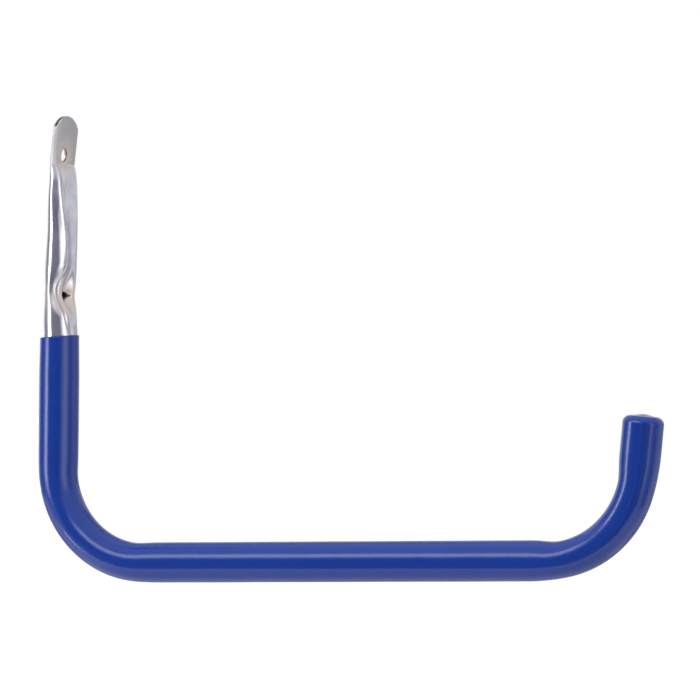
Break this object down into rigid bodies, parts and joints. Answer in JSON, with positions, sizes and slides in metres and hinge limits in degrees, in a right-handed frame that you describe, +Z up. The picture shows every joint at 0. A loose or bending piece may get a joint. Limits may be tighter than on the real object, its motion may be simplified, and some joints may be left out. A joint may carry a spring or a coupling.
{
  "type": "coated utility hook",
  "caption": "Bent steel tube hook with a flattened, drilled end for the wall and a dipped vinyl coat over the arm and the upturned tip.",
  "frame": {"origin": "on the wall plane, midway between the two screw holes of the crushed end", "axes": "+X straight out from the wall along the arm, +Z up, symmetric about Y = 0"},
  "size_m": [0.2449, 0.0188, 0.1668],
  "materials": {
    "zinc_plated_steel": "bright zinc plate over drawn tube, with die marks where it was crushed",
    "dipped_vinyl": "glossy dipped vinyl, thick and slightly wavy"
  },
  "bodies": {
    "root": {"steel_tube": "zinc_plated_steel", "vinyl_coating": "dipped_vinyl"}
  },
  "joints": []
}
